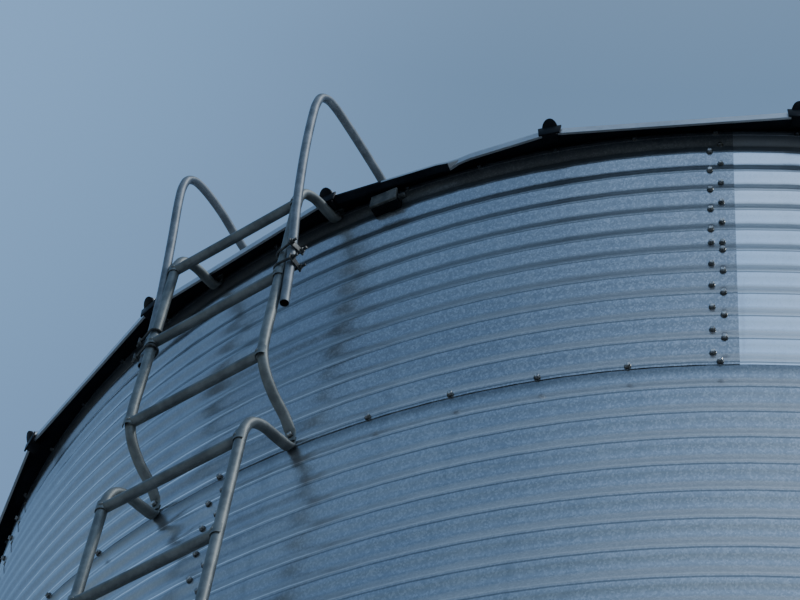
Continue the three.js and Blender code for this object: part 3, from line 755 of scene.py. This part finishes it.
for sector in range(6):
    turns = [FIRST_RIB + PANEL_TURN * (4 * sector + k) for k in range(4)]
    ribs = repeated(rib, [eave_line(t) for t in turns])
    smooth(ribs, 35)
    on_root(ribs, f"roof_ribs_{sector + 1}", roof_finish, "roof_sheet", f"roof_sector_{sector + 1}")
    places = []
    for t in turns:
        for k in range(7):
            for side in (-1, 1):
                across = side * (RIB_HALF_WIDTH + RIB_FLANGE * 0.55)
                spot = Matrix.Translation((across, 0.06 + k * SCREW_SPACING, 0.001))
                places.append(eave_line(t) @ spot)
    on_root(repeated(screw, places), f"roof_screws_{sector + 1}", washer_finish, "roof_sheet")
    edge = Matrix.Translation((0, SHELL_AXIS_Y - EAVE_RADIUS, EAVE_HEIGHT + ROOF_GAUGE))
    plugs = repeated(plug, [round_shell(t) @ edge for t in turns])
    smooth(plugs, 35)
    on_root(plugs, f"rib_plugs_{sector + 1}", plug_finish, "box_plastic", f"roof_sector_{sector + 1}")
for each in (rib, screw, plug):
    bpy.data.objects.remove(each)

# Peak. A rolled collar of galvanised sheet stands inside the panels' inner ends, and a spun lid with a
# turned down rim covers it.
COLLAR_RADIUS = 0.335
COLLAR_HEIGHT = 0.13
collar_foot = EAVE_HEIGHT + (EAVE_RADIUS - COLLAR_RADIUS) * math.tan(ROOF_SLOPE) - 0.02
collar_top = collar_foot + COLLAR_HEIGHT
bpy.ops.mesh.primitive_cylinder_add(
    vertices=96,
    radius=COLLAR_RADIUS,
    depth=COLLAR_HEIGHT,
    end_fill_type="NOTHING",
    location=(0, SHELL_AXIS_Y, collar_foot + COLLAR_HEIGHT / 2),
)
collar = bpy.context.object
settle(collar)
edit(collar)
bpy.ops.mesh.select_all(action="SELECT")
bpy.ops.mesh.subdivide(number_cuts=3, quadcorner="INNERVERT")
done()
add_modifier(collar, "SOLIDIFY", thickness=0.004, offset=-1)
smooth(collar)
on_root(collar, "peak_collar_sheet", roof_finish, "roof_sheet", "peak_collar")

LID_RADIUS = COLLAR_RADIUS + 0.032
LID_RISE = 0.085
bpy.ops.mesh.primitive_cone_add(
    vertices=96,
    radius1=LID_RADIUS,
    radius2=0.06,
    depth=LID_RISE - 0.01,
    location=(0, SHELL_AXIS_Y, collar_top + 0.010 + (LID_RISE - 0.01) / 2),
)
lid = bpy.context.object
settle(lid)
edit(lid)
pick(lid, "FACE", lambda p: p.z < collar_top + 0.011)
bpy.ops.mesh.extrude_region_move(TRANSFORM_OT_translate={"value": (0, 0, -0.048)})
bpy.ops.mesh.inset(thickness=0.004)
bpy.ops.mesh.extrude_region_move(TRANSFORM_OT_translate={"value": (0, 0, 0.036)})
pick(lid, "FACE", lambda p: p.z > collar_top + LID_RISE - 0.001)
bpy.ops.mesh.inset(thickness=0.02)
bpy.ops.transform.translate(value=(0, 0, -0.004))
done()
add_modifier(lid, "BEVEL", width=0.003, segments=2, limit_method="ANGLE")
smooth(lid)
on_root(lid, "peak_lid_sheet", roof_finish, "roof_sheet", "peak_lid")

# Ladder. Each rail of a section is one zinc plated tube, its two ends flattened and bolted to the ring
# seams. Three plain tubular rungs stand between the rails, each end held by a pressed saddle and a rivet.
RAIL_RADIUS = 0.015875
RAIL_OFFSET = 0.238125
RAIL_WALL = 2.71829
STANDOFF = 0.190
SIDES = 16
LUG_DEPTH = 0.17
LUG_WIDTH = 1.08
FOOT_BEND = [
    (15.1, -10), (15.1, 6), (15.3, 20), (20, 34), (48, 58),
    (112, 94), (160, 142), (185, 200), (190, 262), (190, 380)
]
HEAD_BEND = [
    (190, -190), (186, -138), (168, -90), (128, -58), (62, -40),
    (28, -32), (9.8, -22), (9.8, -8), (9.8, 8)
]
EAVE_BEND = [
    (190, -190), (187, -146), (171, -103), (134, -74), (95, -63),
    (60, -60), (30, -53), (14, -40), (9.8, -24), (9.8, 8)
]
RUNG_HEIGHTS = [0.195, 0.5675, 0.940]


def eased(knots, steps=6):
    """Points along a smooth line through all the knots."""
    knots = [Vector(knot) for knot in knots]
    knots = [knots[0] * 2 - knots[1], *knots, knots[-1] * 2 - knots[-2]]
    line = []
    for a, b, c, d in zip(knots, knots[1:], knots[2:], knots[3:]):
        ab, bc, cd = [(q - p).length ** 0.5 for p, q in ((a, b), (b, c), (c, d))]
        leave = ((b - a) / ab - (c - a) / (ab + bc) + (c - b) / bc) * bc
        arrive = ((c - b) / bc - (d - b) / (bc + cd) + (d - c) / cd) * bc
        line += interpolate_bezier(b, b + leave / 3, c - arrive / 3, c, steps + 1)[:-1]
    return line + [knots[-2]]


def tube(points, radius, sides=SIDES):
    """A round tube along a line of points. Corner number divided by sides is the number of its point."""
    bpy.ops.curve.primitive_nurbs_path_add()
    path = bpy.context.object
    spline = path.data.splines[0]
    spline.type = "POLY"
    spline.points.add(len(points) - len(spline.points))
    for point, spot in zip(spline.points, points):
        point.co = (*spot, 1)
    path.data.bevel_depth = radius
    path.data.bevel_resolution = sides // 2 - 2
    path.data.use_fill_caps = True
    bpy.ops.object.convert(target="MESH")
    return bpy.context.object


def flattened(piece, points, turn):
    """Presses both ends of a rail flat, and turns them to lie on the round wall."""
    twist = Matrix.Rotation(math.radians(turn), 3, "Z")
    for v in piece.data.vertices:
        middle = points[min(v.index // SIDES, len(points) - 1)]
        reach = min((middle - points[0]).length, (middle - points[-1]).length)
        amount = 1 - min(max((reach - 0.042) / 0.058, 0), 1)
        amount = amount * amount * (3 - 2 * amount)
        off = v.co - middle
        pressed = twist @ Vector((off.x * LUG_WIDTH, off.y * LUG_DEPTH, off.z))
        v.co = middle + off.lerp(pressed, amount)


tube_finish = Finish(bpy.data.materials.new("weathered zinc tube"))
place = tube_finish.node("TexCoord", out=3)
bloom = tube_finish.node("TexNoise", {"Vector": place, "Scale": 14.0, "Detail": 5.0, "Roughness": 0.65})
fleck = tube_finish.node("TexNoise", {"Vector": place, "Scale": 260.0, "Detail": 2.0})
tube_tone = tube_finish.mix(bloom.fade(0.35, 0.65), (0.125, 0.14, 0.14), (0.21, 0.23, 0.225))
tube_tone = tube_finish.mix(fleck.fade(0.55, 0.75) * 0.25, tube_tone, (0.11, 0.125, 0.12))
tube_finish.surface(
    Base_Color=tube_tone,
    Metallic=0.8,
    Roughness=bloom * 0.2 + 0.45,
    Normal=tube_finish.node("Bump", {"Height": fleck, "Strength": 0.12, "Distance": 0.0008}),
)

bpy.ops.mesh.primitive_cylinder_add(
    vertices=24, radius=RAIL_RADIUS + 0.002, depth=0.034, end_fill_type="NOTHING", location=(0, 0, 0)
)
saddle = bpy.context.object
settle(saddle)
edit(saddle)
pick(saddle, "FACE", lambda p: p.y > 0.001)
bpy.ops.mesh.delete(type="FACE")
done()
add_modifier(saddle, "SOLIDIFY", thickness=0.0018, offset=1)
add_modifier(saddle, "BEVEL", width=0.0006, segments=1, limit_method="ANGLE")
bpy.ops.mesh.primitive_uv_sphere_add(segments=14, ring_count=8, radius=0.0065)
rivet = bpy.context.object
rivet.location = (0, -RAIL_RADIUS - 0.0035, 0)
rivet.scale = (1, 0.55, 1)
settle(rivet)
saddle = joined([saddle, rivet])

for section in range(1, RINGS + 1):
    foot = SHELL_FOOT + (section - 1) * RING
    lower = FOOT_BEND if section > 1 else [(9.8 if out < 15.2 else out, z + 95) for out, z in FOOT_BEND]
    upper = EAVE_BEND if section == RINGS else HEAD_BEND
    profile = [(out / 1000, z / 1000) for out, z in lower]
    profile += [(STANDOFF, RING - 0.240)] + [(out / 1000, RING + z / 1000) for out, z in upper]
    pieces = []
    saddles = []
    for side in (-1, 1):
        x = side * RAIL_OFFSET
        line = eased([(x, SHELL_AXIS_Y - RAIL_WALL - out, foot + z) for out, z in profile])
        rail = tube(line, RAIL_RADIUS)
        flattened(rail, line, LADDER_TURN * side)
        pieces.append(rail)
        for rise in RUNG_HEIGHTS:
            at = min(line, key=lambda p: abs(p.z - foot - rise))
            turn = Matrix.Rotation(math.radians(-22 * side), 4, "Z")
            saddles.append(Matrix.Translation((x, at.y, foot + rise)) @ turn)
    for rise in RUNG_HEIGHTS:
        at = min(line, key=lambda p: abs(p.z - foot - rise))
        bpy.ops.mesh.primitive_cylinder_add(
            vertices=24,
            radius=RAIL_RADIUS,
            depth=2 * RAIL_OFFSET,
            rotation=(0, math.pi / 2, 0),
            location=(0, at.y, foot + rise),
        )
        rung = bpy.context.object
        settle(rung)
        pieces.append(rung)
    pieces.append(repeated(saddle, saddles))
    ladder = joined(pieces)
    smooth(ladder)
    on_root(ladder, f"ladder_tubes_{section}", tube_finish, "ladder_tube", f"ladder_section_{section}")
    spots = []
    for side in (-1, 1):
        lift = 0.014 if section > 1 else 0.109
        skin = SHELL_RADIUS + SLAB_HALF + (0.0108 if section > 1 else 0.0055)
        spots.append((LADDER_TURN * side, foot + lift, skin))
        if section == RINGS:
            spots.append((LADDER_TURN * side, foot + RING - 0.014, SHELL_RADIUS + 0.0125))
    lugs = [
        round_shell(t) @ Matrix.Translation((0, SHELL_AXIS_Y - skin, z)) @ Matrix.Rotation(0.4 * t, 4, "Y")
        for t, z, skin in spots
    ]
    on_root(repeated(bolt, lugs), f"ladder_bolts_{section}", None, "wall_sheet")
bpy.data.objects.remove(saddle)
bpy.data.objects.remove(bolt)

# Handrails. Two loops of bent zinc plated tube, each clamped beside its rail below the eave, carried up
# over the roof's edge and down to a small plate screwed to a roof panel. The lower ends are left open.
LOOP_RADIUS = 0.0143
LOOP_OFFSET = 0.269125
LOOP_FOOT_Y = 2.400
PLATE = (0.038, 0.080, 0.005)
OUTLINES = {
    -1: [
        (2897, 7196), (2897, 7320), (2901, 7430), (2909, 7569), (2931, 7811), (2951, 8010), (2953, 8085),
        (2941, 8144), (2912, 8176), (2872, 8186), (2780, 8176), (2672, 8138), (2545, 8102)
    ],
    1: [
        (2895, 7125), (2901, 7220), (2908, 7320), (2916, 7400), (2937, 7590), (2955, 7855), (2958, 8050),
        (2955, 8122), (2940, 8185), (2908, 8215), (2873, 8220), (2788, 8203), (2613, 8150), (2525, 8113)
    ],
}
loop_finish = Finish(bpy.data.materials.new("bent handrail tube"))
place = loop_finish.node("TexCoord", out=3)
level = loop_finish.node("SeparateXYZ", {0: place}, out=2)
bloom = loop_finish.node("TexNoise", {"Vector": place, "Scale": 18.0, "Detail": 5.0, "Roughness": 0.65})
scratch_place = loop_finish.node("Mapping", {0: place, 3: (300, 300, 9)})
scratch = loop_finish.node("TexNoise", {"Vector": scratch_place, "Scale": 1.0, "Detail": 2.0})
loop_tone = loop_finish.mix(bloom.fade(0.35, 0.65), (0.13, 0.15, 0.165), (0.21, 0.235, 0.255))
loop_tone = loop_finish.mix(scratch.fade(0.58, 0.75) * 0.15, loop_tone, (0.40, 0.43, 0.46))
loop_finish.surface(Base_Color=loop_tone, Metallic=0.8, Roughness=bloom * 0.2 + 0.46)

for side, word in ((-1, "left"), (1, "right")):
    middle = FIRST_RIB + side * PANEL_TURN / 2
    spin = Matrix.Rotation(math.radians(middle), 3, "Z")
    steep = math.atan(math.tan(ROOF_SLOPE) / math.cos(HALF_PANEL))
    normal = spin @ Vector((0, -math.sin(steep), math.cos(steep)))
    edge = spin @ Vector((0, -outer_middle, 0)) + Vector((0, SHELL_AXIS_Y, EAVE_HEIGHT))
    foot = Vector((side * LOOP_OFFSET, SHELL_AXIS_Y - LOOP_FOOT_Y, 0))
    foot.z = edge.z - (normal.x * (foot.x - edge.x) + normal.y * (foot.y - edge.y)) / normal.z
    foot += normal * (ROOF_GAUGE + SEAT_GAP)
    knots = [
        Vector((foot.x, SHELL_AXIS_Y - out / 1000, z / 1000 + SHELL_FOOT)) for out, z in OUTLINES[side]
    ]
    knots += [foot + Vector((0, -0.034, 0.030)), foot + Vector((0, -0.002, 0.002))]
    loop = tube(eased(knots, 8), LOOP_RADIUS, 20)
    inward = (knots[1] - knots[0]).normalized()
    edit(loop)
    pick(loop, "FACE", lambda p: abs((p - knots[0]).dot(inward)) < 0.001)
    bpy.ops.mesh.dissolve_faces()
    bpy.ops.mesh.inset(thickness=0.0018)
    bpy.ops.mesh.extrude_region_move(TRANSFORM_OT_translate={"value": inward * 0.05})
    done()
    # Painted shade: the inside of the open lower end takes the near black finish.
    for finish in (loop_finish, under_finish):
        loop.data.materials.append(finish.owner)
    for face in loop.data.polygons:
        along = (face.center - knots[0]).dot(inward)
        if along < 0.055 and (face.center - knots[0] - inward * along).length < LOOP_RADIUS - 0.0012:
            face.material_index = 1
    bpy.ops.mesh.primitive_cube_add(size=1)
    plate = bpy.context.object
    plate.scale = PLATE
    settle(plate)
    add_modifier(plate, "BEVEL", width=0.0012, segments=2, limit_method="ANGLE")
    across = Vector((1, 0, 0)) - normal * normal.x
    across.normalize()
    frame_of_plate = Matrix((across, normal.cross(across), normal)).transposed().to_4x4()
    plate.data.transform(Matrix.Translation(foot + normal * PLATE[2] / 2) @ frame_of_plate)
    plate.data.materials.append(loop_finish.owner)
    whole = joined([loop, plate])
    smooth(whole)
    on_root(whole, f"handrail_tube_{word}", None, "ladder_tube", f"handrail_{word}")
    bpy.ops.mesh.primitive_cylinder_add(vertices=8, radius=0.006, depth=0.005, location=(0, 0, 0.0022))
    screw = bpy.context.object
    settle(screw)
    spots = []
    for along in (-0.030, 0.030):
        at = foot + normal * PLATE[2]
        spots.append(Matrix.Translation(at) @ frame_of_plate @ Matrix.Translation((0, along, 0)))
    on_root(repeated(screw, spots), f"handrail_screws_{word}", washer_finish, "ladder_tube")
    bpy.data.objects.remove(screw)

# Clamps. Two on each loop: a rod bent round the rail, whose legs pass through a plate beyond the loop and
# end in washers and nuts, all of dark, dirty plated steel.
ROD_RADIUS = 0.004
BEND = RAIL_RADIUS + ROD_RADIUS + 0.0005
CLAMP_HEIGHTS = {-1: (7.240, 7.318), 1: (7.300, 7.368)}
CLAMP_PLATE = (0.005, 0.060, 0.024)
clamp_finish = Finish(bpy.data.materials.new("dark clamp steel"))
place = clamp_finish.node("TexCoord", out=3)
soot = clamp_finish.node("TexNoise", {"Vector": place, "Scale": 70.0, "Detail": 4.0, "Roughness": 0.7})
clamp_tone = clamp_finish.mix(soot.fade(0.42, 0.62), (0.040, 0.043, 0.043), (0.11, 0.115, 0.11))
clamp_finish.surface(
    Base_Color=clamp_tone,
    Metallic=0.7,
    Roughness=soot * 0.3 + 0.35,
    Normal=clamp_finish.node("Bump", {"Height": soot, "Strength": 0.2, "Distance": 0.001}),
)


def out_at(outline, level):
    """How far out a loop runs at a height, in metres, from its outline in millimetres."""
    for (out, z), (next_out, next_z) in zip(outline, outline[1:]):
        if z <= level * 1000 <= next_z:
            return (out + (next_out - out) * (level * 1000 - z) / (next_z - z)) / 1000


for side, word in ((-1, "left"), (1, "right")):
    for level, part in zip(CLAMP_HEIGHTS[side], ("lower", "upper")):
        rail = Vector((side * RAIL_OFFSET, SHELL_AXIS_Y - RAIL_WALL - STANDOFF, level + SHELL_FOOT))
        loop_out = out_at(OUTLINES[side], level)
        loop = Vector((side * LOOP_OFFSET, SHELL_AXIS_Y - loop_out, level + SHELL_FOOT))
        along = (loop - rail).normalized()
        plate_at = (loop - rail).length + LOOP_RADIUS + 0.0005
        leg_end = plate_at + CLAMP_PLATE[0] + 0.020
        turns = [math.pi * k / 12 for k in range(13)]
        bend = [Vector((-BEND * math.sin(a), BEND * math.cos(a), 0)) for a in turns]
        line = [Vector((leg_end, BEND, 0)), *bend, Vector((leg_end, -BEND, 0))]
        pieces = [tube(line, ROD_RADIUS, 12)]
        bpy.ops.mesh.primitive_cube_add(size=1)
        plate = bpy.context.object
        plate.scale = CLAMP_PLATE
        plate.location = (plate_at + CLAMP_PLATE[0] / 2, 0, 0)
        settle(plate)
        add_modifier(plate, "BEVEL", width=0.0012, segments=2, limit_method="ANGLE")
        pieces.append(plate)
        for leg in (-BEND, BEND):
            for sides, radius, depth, start in ((20, 0.0088, 0.0016, 0.0), (6, 0.0075, 0.0066, 0.0016)):
                bpy.ops.mesh.primitive_cylinder_add(
                    vertices=sides,
                    radius=radius,
                    depth=depth,
                    rotation=(0, math.pi / 2, 0),
                    location=(plate_at + CLAMP_PLATE[0] + start + depth / 2, leg, 0),
                )
                ring = bpy.context.object
                settle(ring)
                add_modifier(ring, "BEVEL", width=0.0005, segments=1, limit_method="ANGLE")
                pieces.append(ring)
        clamp = joined(pieces)
        turned = Matrix((along, Vector((0, 0, 1)).cross(along), Vector((0, 0, 1)))).transposed().to_4x4()
        clamp.data.transform(Matrix.Translation(rail) @ turned)
        smooth(clamp)
        on_root(clamp, f"clamp_steel_{word}_{part}", clamp_finish, "clamp_steel", f"clamp_{word}_{part}")

# Junction box. A small moulded box on the wall just under the eave, with a black case, a dark grey lid held
# by four screws, and a dark metal cable gland in its right hand end.
BOX_TURN = 7.5
BOX_SHIFT = math.radians(1.35)
BOX_SIZE = (0.090, 0.042, 0.056)
LID_DEPTH = 0.009
BOX_TOP = SHELL_FOOT + 7.768
box_back = (SHELL_RADIUS + SLAB_HALF) * math.cos(math.radians(BOLT_STEP / 2)) + SEAT_GAP
box_middle = Vector((box_back * math.tan(BOX_SHIFT), SHELL_AXIS_Y - box_back, BOX_TOP - BOX_SIZE[2] / 2))
box_finish = Finish(bpy.data.materials.new("weathered dark plastic"))
place = box_finish.node("TexCoord", out=3)
chalk = box_finish.node("TexNoise", {"Vector": place, "Scale": 34.0, "Detail": 5.0, "Roughness": 0.7})
box_tone = box_finish.mix(chalk.fade(0.4, 0.66), (0.026, 0.030, 0.028), (0.085, 0.090, 0.082))
box_finish.surface(
    Base_Color=box_tone,
    Roughness=chalk * 0.3 + 0.4,
    Normal=box_finish.node("Bump", {"Height": chalk, "Strength": 0.15, "Distance": 0.001}),
)
case = (BOX_SIZE[1] - LID_DEPTH - 0.0012, 0, 0.0)
gasket = (0.0016, 0.0316, 0.004)
cover = (LID_DEPTH, 0.033, 0.0)
parts = []
for depth, start, shrink in (case, gasket, cover):
    bpy.ops.mesh.primitive_cube_add(size=1)
    shell = bpy.context.object
    shell.scale = (BOX_SIZE[0] - shrink, depth, BOX_SIZE[2] - shrink)
    shell.location = (0, -start - depth / 2, 0)
    settle(shell)
    add_modifier(shell, "BEVEL", width=0.0022 if not shrink else 0.0004, segments=3, limit_method="ANGLE")
    parts.append(shell)
for x in (-1, 1):
    for z in (-1, 1):
        spot = (x * (BOX_SIZE[0] / 2 - 0.009), -BOX_SIZE[1] + 0.0006, z * (BOX_SIZE[2] / 2 - 0.009))
        bpy.ops.mesh.primitive_cylinder_add(
            vertices=16, radius=0.0035, depth=0.0012, rotation=(math.pi / 2, 0, 0), location=spot
        )
        settle(bpy.context.object)
        parts.append(bpy.context.object)
for number, shell in enumerate(parts):
    shell.data.materials.append((plug_finish if number < 2 else box_finish).owner)
box = joined(parts)
to_wall = round_shell(BOX_TURN) @ Matrix.Translation(box_middle)
box.data.transform(to_wall)
smooth(box)
on_root(box, "junction_box_case", None, "box_plastic", "junction_box")
parts = []
gland_steps = (
    (6, 0.0125, 0.005, 0),
    (24, 0.0088, 0.008, 0.005),
    (6, 0.0108, 0.007, 0.010),
    (24, 0.0075, 0.005, 0.017),
)
for sides, radius, depth, start in gland_steps:
    bpy.ops.mesh.primitive_cylinder_add(
        vertices=sides,
        radius=radius,
        depth=depth,
        rotation=(0, math.pi / 2, 0),
        location=(BOX_SIZE[0] / 2 + start + depth / 2, -BOX_SIZE[1] / 2, 0),
    )
    ring = bpy.context.object
    settle(ring)
    add_modifier(ring, "BEVEL", width=0.0007, segments=2, limit_method="ANGLE")
    parts.append(ring)
gland = joined(parts)
gland.data.transform(to_wall)
smooth(gland)
on_root(gland, "cable_gland", clamp_finish, "clamp_steel")
